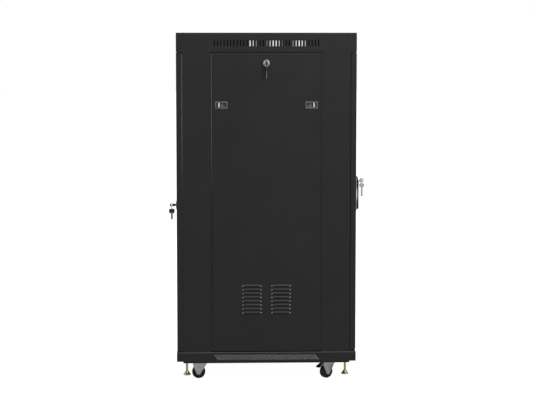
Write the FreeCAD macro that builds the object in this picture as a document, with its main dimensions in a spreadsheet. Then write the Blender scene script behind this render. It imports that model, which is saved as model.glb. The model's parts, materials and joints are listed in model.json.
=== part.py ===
import FreeCAD, Part
import math
import os
import re
import Sketcher

# A 22U network rack cabinet, 600 mm wide and 600 mm deep, on four swivel casters.
# +Z is up, the front door faces -Y, and the origin is on the floor under the middle.

Vector = FreeCAD.Vector
Rotation = FreeCAD.Rotation
doc = FreeCAD.newDocument("RackCabinet")
sheet = doc.addObject("Spreadsheet::Sheet", "Sizes")

# ---------------------------------------------------------------- driving sizes

SIZES = {
    # outer body
    "body_half": 300,
    "roof_top": 1177,
    "cover_low": 1114,
    "leaf_top": 1110,
    "plate": 1.5,
    "edge_round": 2,
    # base
    "base_low": 68,
    "base_high": 74,
    "base_deep": 280,
    "skirt_half": 301.5,
    "skirt_wall": 3,
    "skirt_high": 105.5,
    "skirt_bevel": 2,
    "side_window": 270,
    "side_window_deep": 175,
    "end_window": 165,
    "end_window_deep": 250,
    "grille_low": 79,
    "grille_high": 98,
    "grille_start": 177.5,
    "grille_slot": 3.2,
    "grille_lean": 17.1,
    "grille_pitch": 8.8,
    # corner posts and top frame
    "post_face": 298.5,
    "post_inner": 184.5,
    "post_front": 262,
    "post_return": 276.5,
    "post_lip": 270,
    "post_wall": 2,
    "frame_low": 1112,
    "frame_inner": 268,
    "frame_upstand": 1126,
    "keeper_face": 281,
    "keeper_half": 20,
    "keeper_low": 1090,
    # roof
    "roof_slot": 3.7,
    "roof_slot_low": 1132.3,
    "roof_slot_high": 1153.5,
    "roof_slot_pitch": 10.8,
    "entry_half": 120,
    "entry_middle": -200,
    "entry_deep": 30,
    "fan_middle": 114,
    "fan_half": 60,
    "fan_thick": 38,
    "fan_bore": 57,
    "fan_hub": 20,
    "blade_tip": 55,
    "guard_wire": 1,
    # mounting rails, EIA-310 pattern
    "rail_low": 112,
    "rail_long": 990,
    "rail_front": 230,
    "rail_rear": 200,
    "rail_open": 225,
    "rail_back": 260,
    "rail_leg": 30,
    "hole_middle": 232.55,
    "hole_side": 9.5,
    "unit": 44.45,
    "unit_first": 6.35,
    "unit_gap": 15.875,
    "units_long": 977.9,
    "bracket_high": 30,
    "bracket_lip": 10,
    "bracket_reach": 255,
    "bracket_screw": 275,
    # side panels
    "panel_half": 182.5,
    "panel_low": 108,
    "panel_deep": 14,
    "skin": 1.2,
    "lock_high": 1076,
    "latch_high": 937.5,
    "latch_middle": 150,
    "louvre_high": 330.5,
    "louvre_pitch": 13,
    "louvre_inner": 18.7,
    "louvre_outer": 78.8,
    "louvre_round": 5.2,
    "tab_middle": 138,
    "tab_half": 10,
    "tab_low": 96,
    # doors
    "door_back": 282,
    "front_low": 115.5,
    "rear_low": 111,
    "pin_middle": 292,
    "pin_round": 3,
    "window_half": 210,
    "window_low": 175.5,
    "window_high": 1050,
    "rebate": 10,
    "glass": 5,
    "vent_half": 18,
    "vent_middle": 255,
    "vent_high": 4,
    "vent_pitch": 10,
    # swing handle
    "handle_x": -252,
    "handle_low": 578,
    "handle_high": 702,
    "handle_half": 13,
    "handle_plate": 305,
    "lever_back": 305.3,
    "lever_front": 312,
    "lever_half": 9,
    "spindle_high": 588,
    "spindle_round": 6,
    "lift_middle": 308.8,
    "front_lock_high": 681,
    "rear_lock_high": 599,
    "rear_lock_x": -245,
    # casters and feet
    "caster_x": 220,
    "front_caster_y": 220,
    "rear_caster_y": 214,
    "trail": 16,
    "wheel_round": 22.5,
    "wheel_half": 9,
    "axle": 3,
    "foot_x": 250,
    "foot_y": 269,
    "foot_low": 18,
    "foot_round": 12.5,
    "stud": 4,
}
UNITS = 22
RAIL_LEVELS = (150, 520, 1040)
FRONT_CASTER_ANGLE = 122
REAR_CASTER_ANGLE = 90
NODES = {}


def fill_sheet():
    for row, (name, size) in enumerate(SIZES.items(), start=1):
        sheet.set(f"A{row}", name)
        sheet.set(f"B{row}", str(size))
        sheet.setAlias(f"B{row}", name)
    doc.recompute()


def formula(text):
    """An expression in which each name of a size becomes its cell in the sheet."""
    return re.sub(r"[a-z_]+", lambda m: f"Sizes.{m[0]}" if m[0] in SIZES else m[0], str(text))


def value(text):
    found = sheet.evalExpression(str(text))
    return float(getattr(found, "Value", found))


# ---------------------------------------------------------------- building blocks


def bind(thing, name, text):
    thing.setExpression(name, formula(text))


def place(thing, x=0, y=0, z=0, turn=Rotation()):
    thing.Placement = FreeCAD.Placement(Vector(value(x), value(y), value(z)), turn)
    for axis, text in zip("xyz", (x, y, z)):
        bind(thing, f".Placement.Base.{axis}", text)
    return thing


def box(name, x, y, z):
    """A block between two expressions along each axis."""
    block = doc.addObject("Part::Box", name)
    for side, (low, high) in zip(("Length", "Width", "Height"), (x, y, z)):
        bind(block, side, f"({high}) - ({low})")
    return place(block, x[0], y[0], z[0])


def around(middle, half):
    return f"{middle} - ({half})", f"{middle} + ({half})"


def signed(sign, near, far):
    """The span between two distances from the middle, on the side that sign gives."""
    return (near, far) if sign > 0 else (f"-({far})", f"-({near})")


TURNS = {
    "x": Rotation(Vector(0, 0, 1), Vector(1, 0, 0)),
    "y": Rotation(Vector(0, 0, 1), Vector(0, 1, 0)),
    "z": Rotation(),
}


def rod(name, axis, radius, x, y, z, length):
    """A cylinder that starts at x, y, z and runs along an axis."""
    bar = doc.addObject("Part::Cylinder", name)
    bind(bar, "Radius", radius)
    bind(bar, "Height", length)
    return place(bar, x, y, z, TURNS[axis])


def fuse(name, *pieces):
    joined = doc.addObject("Part::MultiFuse", name)
    joined.Shapes = list(pieces)
    joined.Refine = True
    return joined


def group(name, pieces):
    several = doc.addObject("Part::Compound", name)
    several.Links = list(pieces)
    return several


def cut(name, base, *tools):
    left = doc.addObject("Part::Cut", name)
    left.Base = base
    left.Tool = tools[0] if len(tools) == 1 else group(f"{name}_tools", tools)
    return left


def node(label, thing, x=None, y=0, z=0, turn=Rotation()):
    if x is not None:
        place(thing, x, y, z, turn)
    thing.Label = label
    NODES[label] = thing
    return thing


def start_body(name):
    return doc.addObject("PartDesign::Body", name)


def sketch_on(body, role, lift=0, shift=(0, 0)):
    """A sketch on one of the body's own planes, moved along and across it."""
    drawing = body.newObject("Sketcher::SketchObject", f"{body.Name}_outline")
    plane = next(f for f in body.Origin.OriginFeatures if f.Role == role)
    drawing.AttachmentSupport = [(plane, "")]
    drawing.MapMode = "FlatFace"
    for axis, text in zip("xyz", (*shift, lift)):
        bind(drawing, f".AttachmentOffset.Base.{axis}", text)
    return drawing


def pin_point(drawing, geometry, end, u, v):
    for kind, text in (("DistanceX", u), ("DistanceY", v)):
        made = drawing.addConstraint(Sketcher.Constraint(kind, -1, 1, geometry, end, value(text)))
        bind(drawing, f"Constraints[{made}]", text)


def draw(drawing, points):
    """A closed outline. A point that starts with "arc" is one that an arc passes through."""
    spots = [Vector(value(p[-2]), value(p[-1]), 0) for p in points]
    edges = []
    for i, point in enumerate(points):
        after = (i + 1) % len(points)
        if point[0] == "arc":
            continue
        if points[after][0] == "arc":
            a, b, c = spots[i], spots[after], spots[(i + 2) % len(points)]
            anticlockwise = (b - a).cross(c - b).z > 0
            curve = Part.Arc(a, b, c) if anticlockwise else Part.Arc(c, b, a)
            edges.append((drawing.addGeometry(curve), i, after))
        else:
            edges.append((drawing.addGeometry(Part.LineSegment(spots[i], spots[after])), i, None))

    def first_end(edge):
        start = drawing.Geometry[edge[0]].StartPoint
        return 1 if start.distanceToPoint(spots[edge[1]]) < 1e-6 else 2

    for edge, following in zip(edges, edges[1:] + edges[:1]):
        last_end = 3 - first_end(edge)
        join = Sketcher.Constraint("Coincident", edge[0], last_end, following[0], first_end(following))
        drawing.addConstraint(join)
        pin_point(drawing, edge[0], first_end(edge), *points[edge[1]][-2:])
        if edge[2] is not None:
            through = drawing.addGeometry(Part.Point(spots[edge[2]]), True)
            drawing.addConstraint(Sketcher.Constraint("PointOnObject", through, 1, edge[0]))
            pin_point(drawing, through, 1, *points[edge[2]][-2:])


def rectangle(u, v):
    return [(u[0], v[0]), (u[1], v[0]), (u[1], v[1]), (u[0], v[1])]


def pad(body, drawing, length, both_ways=False):
    raised = body.newObject("PartDesign::Pad", f"{body.Name}_pad")
    raised.Profile = drawing
    bind(raised, "Length", length)
    raised.Midplane = both_ways
    return raised


def prism(name, role, points, length, lift=0, both_ways=False):
    body = start_body(name)
    drawing = sketch_on(body, role, lift)
    draw(drawing, points)
    pad(body, drawing, length, both_ways)
    return body


def spun(name, role, points, axis="V_Axis", angle=360, shift=(0, 0), lift=0):
    """A solid of revolution about one of the sketch's own axes."""
    body = start_body(name)
    drawing = sketch_on(body, role, lift, shift)
    draw(drawing, points)
    turned = body.newObject("PartDesign::Revolution", f"{name}_turned")
    turned.Profile = drawing
    turned.ReferenceAxis = (drawing, [axis])
    turned.Angle = angle
    return body


def repeat(body, axis, count, pitch):
    """The body's last feature, several times in a row along one of its sketch's axes."""
    feature = body.Tip
    row = body.newObject("PartDesign::LinearPattern", f"{body.Name}_row")
    row.Originals = [feature]
    row.Direction = (feature.Profile[0], [axis])
    bind(row, "Length", f"({pitch}) * {count - 1}")
    row.Occurrences = count
    body.Tip = row
    return body


def rounded(name, thing, radius, test):
    """The same shape with the edges that pass the test rounded."""
    doc.recompute()
    chosen = [i for i, edge in enumerate(thing.Shape.Edges, start=1) if test(edge)]
    smooth = doc.addObject("Part::Fillet", name)
    smooth.Base = thing
    smooth.Edges = [(i, value(radius), value(radius)) for i in chosen]
    return smooth


def lies_at(edge, axis, place_mm):
    low = getattr(edge.BoundBox, f"{axis}Min")
    high = getattr(edge.BoundBox, f"{axis}Max")
    return abs(low - place_mm) < 0.01 and abs(high - place_mm) < 0.01


# ---------------------------------------------------------------- base

CORNERS = [(side, end) for side in (-1, 1) for end in (-1, 1)]
SIDE_NAMES = {-1: "left", 1: "right"}
END_NAMES = {-1: "front", 1: "rear"}
PLATE_HOLES = [(u, v) for u in (-32, 32) for v in (-23, 23)]


def caster_line(end):
    """The Y of the casters' swivel axes at one end."""
    return "-front_caster_y" if end < 0 else "rear_caster_y"


def corner_name(side, end):
    return f"{END_NAMES[end]}_{SIDE_NAMES[side]}"


def build_base_frame():
    slab = box("base_slab", around(0, "post_face"), around(0, "base_deep"), ("base_low", "base_high"))
    deep = ("base_low - 1", "base_high + 1")
    wide = box("side_opening", around(0, "side_window"), around(0, "side_window_deep"), deep)
    long = box("end_opening", around(0, "end_window"), around(0, "end_window_deep"), deep)
    holes = []
    for side, end in CORNERS:
        middle = f"{side} * foot_x", f"{end} * foot_y"
        holes.append(rod("stud_hole", "z", "stud + 0.3", *middle, "base_low - 1", 8))
        for u, v in PLATE_HOLES:
            spot = f"{side} * caster_x + {u}", f"{caster_line(end)} + {v}"
            holes.append(rod("bolt_hole", "z", 3.2, *spot, "base_low - 1", 8))
    node("base_frame", cut("base_cut", slab, wide, long, *holes))


def build_skirt():
    outer = box("skirt_block", around(0, "skirt_half"), around(0, "skirt_half"), ("base_high", "skirt_high"))
    doc.recompute()
    block = rounded("skirt_corners", outer, 3, lambda e: abs(e.Vertexes[0].Z - e.Vertexes[1].Z) > 1)
    doc.recompute()
    bevel = doc.addObject("Part::Chamfer", "skirt_bevelled")
    bevel.Base = block
    top = value("skirt_high")
    size = value("skirt_bevel")
    bevel.Edges = [(i, size, size) for i, e in enumerate(block.Shape.Edges, 1) if lies_at(e, "Z", top)]
    inside = around(0, "skirt_half - skirt_wall")
    hollow = box("skirt_hollow", inside, inside, ("base_high - 1", "skirt_high + 1"))
    slot = [
        ("-grille_start", "grille_low"),
        ("-grille_start + grille_slot", "grille_low"),
        ("-grille_start + grille_slot + grille_lean", "grille_high"),
        ("-grille_start + grille_lean", "grille_high"),
    ]
    slots = prism("grille", "YZ_Plane", slot, "skirt_half * 2 + 4", both_ways=True)
    slots.AllowCompound = True
    repeat(slots, "H_Axis", 39, "grille_pitch")
    node("base_skirt", cut("skirt_cut", bevel, hollow, slots))


# ---------------------------------------------------------------- posts, top frame and rails


def build_posts():
    for side, end in CORNERS:
        profile = [
            ("post_face", "post_inner"),
            ("post_face", "base_deep"),
            ("post_front", "base_deep"),
            ("post_front", "post_lip"),
            ("post_front + post_wall", "post_lip"),
            ("post_front + post_wall", "base_deep - post_wall"),
            ("post_face - post_wall", "base_deep - post_wall"),
            ("post_face - post_wall", "post_inner + post_wall"),
            ("post_return", "post_inner + post_wall"),
            ("post_return", "post_inner"),
        ]
        points = [(f"{side} * ({u})", f"{end} * ({v})") for u, v in profile]
        name = corner_name(side, end)
        post = prism(f"post_{name}", "XY_Plane", points, "frame_low - base_high", "base_high")
        near = signed(side, "body_half - 13", "body_half - 8")
        across = signed(end, "post_inner - 1", "post_inner + post_wall + 1")
        slot = box("bolt_window", near, across, around("latch_high", 5))
        holes = [slot]
        start = "post_front - 1" if side > 0 else "-(post_front + post_wall + 1)"
        for level in RAIL_LEVELS:
            holes.append(rod("screw_hole", "x", 2.7, start, f"{end} * bracket_screw", level, 4))
        node(f"corner_post_{name}", cut(f"post_{name}_cut", post, *holes))


def build_top_frame():
    outside = around(0, "post_face")
    inner = around(0, "frame_inner")
    ring = box("ring", outside, outside, ("frame_low", "frame_upstand"))
    well = around(0, "post_face - post_wall")
    above = box("ring_well", well, well, ("frame_low + post_wall", "frame_upstand + 1"))
    opening = box("ring_opening", inner, inner, ("frame_low - 1", "frame_upstand + 1"))
    flat = ("frame_low", "frame_low + post_wall")
    tray = box("fan_tray", inner, around("fan_middle", "fan_half + 14"), flat)
    air = rod("tray_hole", "z", "fan_bore", 0, "fan_middle", "frame_low - 1", 6)
    pins = [
        rod("pin_hole", "z", "pin_round", "pin_middle", f"{end} * pin_middle", "frame_low - 1", 6)
        for end in (-1, 1)
    ]
    keepers = []
    for side in (-1, 1):
        span = signed(side, "keeper_face", "keeper_face + post_wall")
        keepers.append(box("keeper", span, around(0, "keeper_half"), ("keeper_low", "frame_low")))
    bare = cut("ring_cut", ring, above, opening)
    whole = fuse("ring_with_tray", bare, tray, *keepers)
    node("top_frame", cut("top_frame_cut", whole, air, *pins))


def build_rails():
    for side, end in CORNERS:
        face = "rail_front" if end < 0 else "rail_rear"
        profile = [
            ("rail_open", face),
            ("rail_back", face),
            ("rail_back", f"{face} - rail_leg"),
            ("rail_back - post_wall", f"{face} - rail_leg"),
            ("rail_back - post_wall", f"{face} - post_wall"),
            ("rail_open", f"{face} - post_wall"),
        ]
        points = [(f"{side} * ({u})", f"{end} * ({v})") for u, v in profile]
        name = corner_name(side, end)
        rail = prism(f"rail_{name}", "XY_Plane", points, "rail_long", "rail_low")
        holes = start_body(f"holes_{name}")
        holes.AllowCompound = True
        drawing = sketch_on(holes, "XZ_Plane", f"{-end} * {face}")
        for k in range(3):
            middle = f"rail_low + (rail_long - units_long) / 2 + unit_first + {k} * unit_gap"
            across = around(f"{side} * hole_middle", "hole_side / 2")
            draw(drawing, rectangle(across, around(middle, "hole_side / 2")))
        pad(holes, drawing, "post_wall * 3", both_ways=True)
        repeat(holes, "V_Axis", UNITS, "unit")
        node(f"mounting_rail_{name}", cut(f"rail_{name}_cut", rail, holes))


def build_rail_brackets():
    brackets = []
    for side in (-1, 1):
        for level in RAIL_LEVELS:
            low, high = around(level, "bracket_high / 2")
            web_span = signed(side, "rail_back", "rail_back + post_wall")
            web = box("web", web_span, around(0, "base_deep - post_wall"), (low, high))
            lip_span = signed(side, "rail_back", "rail_back + post_wall + bracket_lip")
            reach = around(0, "bracket_reach")
            lips = [
                box("lip", lip_span, reach, (low, f"{low} + post_wall")),
                box("lip", lip_span, reach, (f"{high} - post_wall", high)),
            ]
            start = "rail_back - 1" if side > 0 else "-(rail_back + post_wall + 1)"
            holes = [
                rod("hole", "x", 2.7, start, f"{end} * bracket_screw", level, 4) for end in (-1, 1)
            ]
            brackets.append(cut("bracket", fuse("channel", web, *lips), *holes))
    node("rail_brackets", group("brackets", brackets))


def build_fasteners():
    """The screws of the rail brackets and the bolts of the caster plates."""
    made = []
    for side, end in CORNERS:
        for level in RAIL_LEVELS:
            across = f"{end} * bracket_screw", level
            shank_start = "rail_back" if side > 0 else "-(rail_back + post_wall * 2 + 3)"
            head_start = "rail_back - 3" if side > 0 else "-rail_back"
            shank = rod("shank", "x", 2.5, shank_start, *across, "post_wall * 2 + 3")
            head = rod("head", "x", 4.5, head_start, *across, 3)
            made.append(fuse("screw", shank, head))
        for u, v in PLATE_HOLES:
            spot = f"{side} * caster_x + {u}", f"{caster_line(end)} + {v}"
            shank = rod("shank", "z", 3, *spot, "base_low - 2.5", 14)
            nut = doc.addObject("Part::Prism", "nut")
            nut.Polygon = 6
            nut.Circumradius = 5.8
            nut.Height = 5
            place(nut, *spot, "base_high")
            head = rod("head", "z", 5.5, *spot, "base_low - 6", 3.5)
            made.append(fuse("bolt", shank, nut, head))
    node("frame_bolts", group("bolts", made))


# ---------------------------------------------------------------- roof


def build_top_cover():
    side = around(0, "body_half")
    block = box("cover_block", side, side, ("cover_low", "roof_top"))
    low = value("cover_low")
    solid = rounded("cover_rounded", block, "edge_round", lambda e: not lies_at(e, "Z", low))
    inside = around(0, "body_half - plate")
    hollow = box("cover_hollow", inside, inside, ("cover_low - 1", "roof_top - plate"))
    first = around("-roof_slot_pitch * 16", "roof_slot / 2")
    opening = rectangle(first, ("roof_slot_low", "roof_slot_high"))
    slots = prism("roof_slots", "YZ_Plane", opening, "body_half * 2 + 4", both_ways=True)
    slots.AllowCompound = True
    repeat(slots, "H_Axis", 33, "roof_slot_pitch")
    air = rod("roof_hole", "z", "fan_bore", 0, "fan_middle", "roof_top - plate - 1", 4)
    through = ("roof_top - plate - 1", "roof_top + 1")
    entry = box("entry", around(0, "entry_half"), around("entry_middle", "entry_deep"), through)
    node("top_cover", cut("cover_cut", solid, hollow, slots, air, entry))


def build_fan():
    low = "frame_low + post_wall"
    middle = (0, "fan_middle")
    deep = around("fan_middle", "fan_half")
    square = box("fan_block", around(0, "fan_half"), deep, (low, f"{low} + fan_thick"))
    square = rounded("fan_rounded", square, 5, lambda e: abs(e.Vertexes[0].Z - e.Vertexes[1].Z) > 1)
    bore = rod("fan_bore_tool", "z", "fan_bore", *middle, f"{low} - 1", "fan_thick + 2")
    motor = rod("motor", "z", "fan_hub", *middle, low, 7)
    struts = [
        box("strut", around(0, "fan_bore + 1"), around("fan_middle", 2), (low, f"{low} + 4")),
        box("strut", around(0, 2), around("fan_middle", "fan_bore + 1"), (low, f"{low} + 4")),
    ]
    node("fan_housing", fuse("fan_frame", cut("fan_shell", square, bore), motor, *struts))

    hub = rod("fan_hub_body", "z", "fan_hub", *middle, f"{low} + 8", 26)
    blades = []
    for k in range(7):
        blade = doc.addObject("Part::Box", "blade")
        bind(blade, "Length", "blade_tip - fan_hub / 2")
        blade.Width = 1.8
        blade.Height = 26
        turn = Rotation(Vector(0, 0, 1), k * 360 / 7).multiply(Rotation(Vector(1, 0, 0), 38))
        start = turn.multVec(Vector(value("fan_hub") / 2, -0.9, -13))
        place(blade, start.x, f"fan_middle + ({start.y})", f"{low} + 21 + ({start.z})", turn)
        blades.append(blade)
    node("fan_impeller", fuse("impeller", hub, *blades))

    rings = []
    for k in range(4):
        ring = doc.addObject("Part::Torus", "guard_ring")
        bind(ring, "Radius1", f"fan_bore * (0.22 + 0.26 * {k})")
        bind(ring, "Radius2", "guard_wire")
        rings.append(place(ring, 0, "fan_middle", "roof_top - plate - 2.5 * guard_wire"))
    bars = []
    for k in range(2):
        bar = doc.addObject("Part::Box", "guard_bar")
        bind(bar, "Length", "fan_bore * 2 + 12")
        bar.Width = 3
        bind(bar, "Height", "guard_wire * 2")
        turn = Rotation(Vector(0, 0, 1), 45 + 90 * k)
        start = turn.multVec(Vector(-value("fan_bore") - 6, -1.5, 0))
        start_y = f"fan_middle + ({start.y})"
        bars.append(place(bar, start.x, start_y, "roof_top - plate - guard_wire * 2", turn))
    node("fan_guard", fuse("guard", *rings, *bars))


# ---------------------------------------------------------------- side panels and their locks


def louvre_profile(sign, radius, ends):
    """Half a capsule, seen in plan: its outer line and, for a shell, its inner line."""
    inner = f"louvre_inner + {ends}"
    outer = f"louvre_outer - {ends}"
    corner = f"({radius}) * {1 - math.sqrt(0.5)}"
    side = [
        (0, inner),
        ("arc", f"-({radius}) + {corner}", f"{inner} + {corner}"),
        (f"-({radius})", f"{inner} + ({radius})"),
        (f"-({radius})", f"{outer} - ({radius})"),
        ("arc", f"-({radius}) + {corner}", f"{outer} - ({corner})"),
        (0, outer),
    ]
    return [(*p[:-1], f"{sign} * ({p[-1]})") for p in side]


def louvres(name, radius, ends):
    """Two columns of louvre hoods, each a quarter turn of half a capsule."""
    body = start_body(name)
    body.AllowCompound = True
    drawing = sketch_on(body, "XY_Plane", "louvre_high", ("skin", 0))
    for sign in (-1, 1):
        draw(drawing, louvre_profile(sign, radius, ends))
    turned = body.newObject("PartDesign::Revolution", f"{name}_turned")
    turned.Profile = drawing
    turned.ReferenceAxis = (drawing, ["V_Axis"])
    turned.Angle = 90
    row = body.newObject("PartDesign::LinearPattern", f"{name}_row")
    row.Originals = [turned]
    row.Direction = (drawing, ["N_Axis"])
    row.Reversed = True
    bind(row, "Length", "louvre_pitch * 7")
    row.Occurrences = 8
    body.Tip = row
    return body


def build_side_panel(side, turn):
    """Made with its outer face on x = 0 and its inside towards +x, then put on its side."""
    name = SIDE_NAMES[side]
    span = ("panel_low", "leaf_top")
    block = box("panel_block", (0, "panel_deep"), around(0, "panel_half"), span)
    solid = rounded("panel_rounded", block, 1.5, lambda e: not lies_at(e, "X", value("panel_deep")))
    inside = ("panel_low + skin", "leaf_top - skin")
    hollow = box("panel_hollow", ("skin", "panel_deep + 1"), around(0, "panel_half - skin"), inside)
    tray = cut("panel_tray", solid, hollow)
    tabs = []
    windows = [rod("lock_hole", "x", 10.2, -1, 0, "lock_high", 4)]
    for end in (-1, 1):
        tab_y = around(f"{end} * tab_middle", "tab_half")
        tabs.append(box("tab", (8, 9.2), tab_y, ("tab_low", "panel_low + skin / 2")))
        latch_y = around(f"{end} * latch_middle", 18.7)
        windows.append(box("latch_window", (-1, 3), latch_y, around("latch_high", 9.9)))
        wall = signed(end, "panel_half - skin - 1", "panel_half + 1")
        windows.append(box("bolt_window", (8.9, 12.2), wall, around("latch_high", 4.4)))
    hoods = louvres(f"hoods_{name}", "louvre_round", 0)
    mouths = louvres(f"mouths_{name}", "louvre_round - skin", "skin")
    body = cut("panel_cut", fuse("panel_joined", tray, hoods, *tabs), mouths, *windows)
    node(f"side_panel_{name}", body, f"{side} * body_half", 0, 0, turn)


def build_latches(side, turn):
    name = SIDE_NAMES[side]
    fittings = [lock_housing("lock_high", 20)]
    for end in (-1, 1):
        middle = f"{end} * latch_middle"
        plate = box("latch_plate", (-1, 0), around(middle, 20.5), around("latch_high", 11.75))
        plate = rounded("latch_plate_rounded", plate, 0.6, lambda e: lies_at(e, "X", -1))
        tub = box("latch_tub", (0, 9), around(middle, 18.5), around("latch_high", 9.75))
        well = box("latch_well", (-2, 10), around(middle, 17), around("latch_high", 8.25))
        fittings.append(cut("latch_frame", fuse("latch_solid", plate, tub), well))
        base = box("slider", (9.3, 11.8), around(middle, 15), around("latch_high", 7.5))
        tongue = signed(end, "latch_middle + 14", "panel_half + 7.5")
        bolt = box("slider_bolt", (9.3, 11.8), tongue, around("latch_high", 4))
        grip_y = around(f"{end} * (latch_middle + 8)", 2.5)
        grip = box("slider_grip", (-0.5, 9.5), grip_y, around("latch_high", 7))
        grip = rounded("slider_grip_rounded", grip, 0.8, lambda e: lies_at(e, "X", -0.5))
        facing = END_NAMES[end * -side]
        label = f"side_latch_{facing}_{name}"
        slider = fuse(f"slider_{facing}_{name}", base, bolt, grip)
        node(label, slider, f"{side} * body_half", 0, 0, turn)
    grouped = group(f"fittings_{name}", fittings)
    node(f"side_panel_fittings_{name}", grouped, f"{side} * body_half", 0, 0, turn)


def lock_housing(high, long):
    """A dark collar on the face and a threaded barrel behind it, bored for the cylinder."""
    collar = rod("collar", "x", 15, -3, 0, high, 3)
    collar = rounded("collar_rounded", collar, 1, lambda e: lies_at(e, "X", -3))
    barrel = rod("barrel", "x", 10, 0, 0, high, long)
    face = rod("face_seat", "x", 11.3, -4, 0, high, 4)
    bore = rod("bore", "x", 7.3, -1, 0, high, f"{long} + 2")
    return cut("lock_body", fuse("lock_solid", collar, barrel), face, bore)


def lock_cylinder(name, high, long, cam_y, cam_z):
    """A chromed face, its barrel, and a cam plate on the inner end, with a keyway from the face."""
    face = rod("lock_face", "x", 11, -3.5, 0, high, 3.2)
    face = rounded("lock_face_rounded", face, 0.6, lambda e: lies_at(e, "X", -3.5))
    barrel = rod("lock_barrel", "x", 7, -0.5, 0, high, f"{long} + 0.5")
    cam = box("lock_cam", (f"{long} - 2", long), cam_y, cam_z)
    keyway = box("keyway", (-4, 12), around(0, 1.2), around(high, 4.2))
    return cut(name, fuse(f"{name}_solid", face, barrel, cam), keyway)


def key_shape(name, high, start, head_from, head_long, head_high, thick, hole_at):
    """A key in its lock: the blade runs inwards from the head. The head has a hole for the ring."""
    blade = box("blade", (f"-({head_from}) - 2", start), around(0, 1), around(high, 4))
    span = (f"-({head_from} + {head_long})", f"-({head_from})")
    head = box("head", span, around(0, f"{thick} / 2"), around(high, f"{head_high} / 2"))
    head = rounded("head_round", head, 4, lambda e: e.BoundBox.YLength > 1 and e.BoundBox.XLength < 0.01)
    head = rounded("head_soft", head, 0.7, lambda e: e.BoundBox.YLength < 0.01)
    hole = rod("ring_hole", "y", 2.9, f"-({hole_at})", -10, high, 20)
    return cut(name, fuse(f"{name}_solid", blade, head), hole)


def spare_key_shape(name, high, hole_at, wide, long, thick, ring_round):
    """A key that hangs on a small split ring, blade down, in the plane of the lock's axis."""
    ring = doc.addObject("Part::Torus", "split_ring")
    ring.Radius1 = ring_round
    ring.Radius2 = 0.7
    place(ring, f"-({hole_at})", 0, f"{high} - {ring_round}", TURNS["x"])
    top = f"{high} - {2 * ring_round - 2.2}"
    head_low = f"{top} - {wide} * 0.85"
    head = box("bow", around(f"-({hole_at})", f"{wide} / 2"), around(0, f"{thick} / 2"), (head_low, top))
    head = rounded("bow_round", head, 4.5, lambda e: e.BoundBox.YLength > 1 and e.BoundBox.XLength < 0.01)
    head = rounded("bow_soft", head, 0.6, lambda e: e.BoundBox.YLength < 0.01)
    blade_z = (f"{high} - {long}", f"{head_low} + 2")
    blade = box("hanging_blade", around(f"-({hole_at})", 3.5), around(0, 0.9), blade_z)
    hole = rod("bow_hole", "y", 1.2, f"-({hole_at})", -10, f"{high} - {2 * ring_round}", 20)
    return group(name, [ring, cut(f"{name}_key", fuse(f"{name}_solid", head, blade), hole)])


def build_side(side):
    name = SIDE_NAMES[side]
    turn = Rotation() if side < 0 else Rotation(Vector(0, 0, 1), 180)
    spot = (f"{side} * body_half", 0, 0, turn)
    build_side_panel(side, turn)
    build_latches(side, turn)
    cylinder = lock_cylinder(f"cylinder_{name}", "lock_high", 24, (-7, 30), around("lock_high", 7))
    node(f"side_lock_{name}", cylinder, *spot)
    node(f"side_key_{name}", key_shape(f"key_{name}", "lock_high", 10, 7, 18, 18, 5, 18), *spot)
    node(f"side_spare_key_{name}", spare_key_shape(f"spare_{name}", "lock_high", 18, 18, 49, 4, 7.5), *spot)


# ---------------------------------------------------------------- doors


def door_block(name, end, low):
    """The outer form of a door: rounded on its face edges and on the back edge beside the hinge."""
    back = "door_back"
    face = "body_half"
    soft = f"edge_round * {1 - math.sqrt(0.5)}"
    profile = [
        (f"-{face}", back),
        (f"-{face}", f"{face} - edge_round"),
        ("arc", f"-{face} + {soft}", f"{face} - {soft}"),
        (f"-{face} + edge_round", face),
        (f"{face} - edge_round", face),
        ("arc", f"{face} - {soft}", f"{face} - {soft}"),
        (face, f"{face} - edge_round"),
        (face, f"{back} + 6"),
        ("arc", f"{face} - 6 * {1 - math.sqrt(0.5)}", f"{back} + 6 * {1 - math.sqrt(0.5)}"),
        (f"{face} - 6", back),
    ]
    points = [(*p[:-1], f"{end} * ({p[-1]})") for p in profile]
    return prism(name, "XY_Plane", points, f"leaf_top - {low}", low)


def hinge_blocks(end, low):
    """The blocks in the door's corners that turn on the hinge pins, and their bores."""
    outer = "body_half - plate"
    depth = signed(end, "body_half - plate - 13", outer)
    blocks = [
        box("pivot_block", (f"{outer} - 13", outer), depth, (f"{low} + plate / 2", f"{low} + 20")),
        box("pivot_block", (f"{outer} - 13", outer), depth, ("leaf_top - 20", "leaf_top - plate / 2")),
    ]
    spot = ("pin_middle", f"{end} * pin_middle")
    bores = [
        rod("pivot_bore", "z", "pin_round + 0.3", *spot, f"{low} - 1", 24),
        rod("pivot_bore", "z", "pin_round + 0.3", *spot, "leaf_top - 23", 24),
    ]
    return blocks, bores


def vent_column(name, end, side, low, count):
    """A row of level slots one above the other through a door's face."""
    span = rectangle(around(f"{side} * vent_middle", "vent_half"), (low, f"{low} + vent_high"))
    slots = prism(name, "XZ_Plane", span, 12, f"{-end} * body_half", both_ways=True)
    slots.AllowCompound = True
    return repeat(slots, "V_Axis", count, "vent_pitch")


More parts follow.
